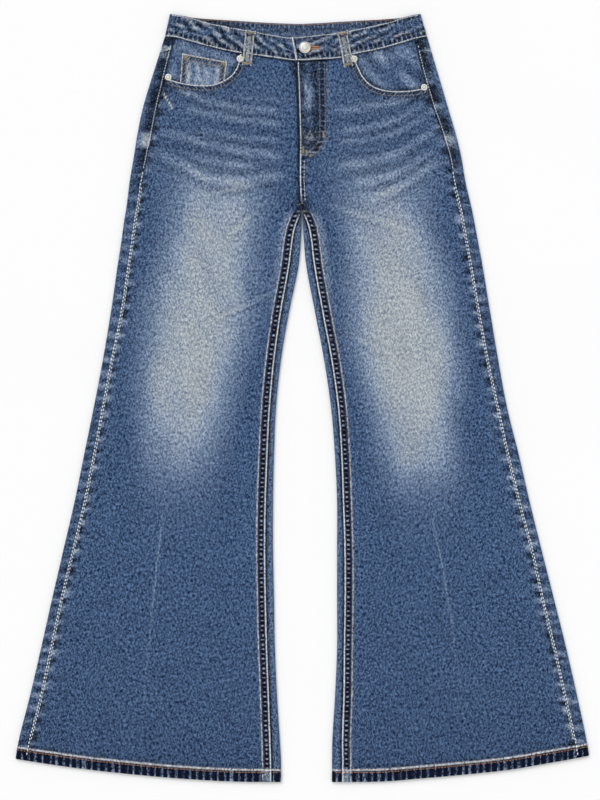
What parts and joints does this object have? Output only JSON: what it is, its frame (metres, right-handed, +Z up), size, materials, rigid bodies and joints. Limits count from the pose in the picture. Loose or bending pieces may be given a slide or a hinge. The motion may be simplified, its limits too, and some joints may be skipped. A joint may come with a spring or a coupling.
{
  "type": "flared jeans",
  "caption": "Flared blue denim jeans laid flat, with curved front pockets, a coin pocket, buttoned fly, belt loops and wide hemmed legs.",
  "frame": {"origin": "on the surface the jeans lie on, under the middle of their outline", "axes": "+Y from the hems to the waist, +X to the wearer's left, which is the viewer's right, and +Z up from the surface"},
  "size_m": [0.819, 1.0968, 0.011],
  "materials": {
    "denim": "washed indigo twill, faded on the thighs and hips",
    "nickel": "worn nickel",
    "thread": "tan and cream sewing thread"
  },
  "bodies": {
    "root": {"right_front": "denim", "left_front": "denim", "right_back": "denim", "left_back": "denim", "right_yoke": "denim", "left_yoke": "denim", "waistband": "denim", "right_pocket_facing": "denim", "left_pocket_facing": "denim", "coin_pocket": "denim", "right_belt_loop": "denim", "left_belt_loop": "denim", "button": "nickel", "rivet_right_waist": "nickel", "rivet_right_side": "nickel", "rivet_left_waist": "nickel", "rivet_left_side": "nickel"}
  },
  "joints": []
}
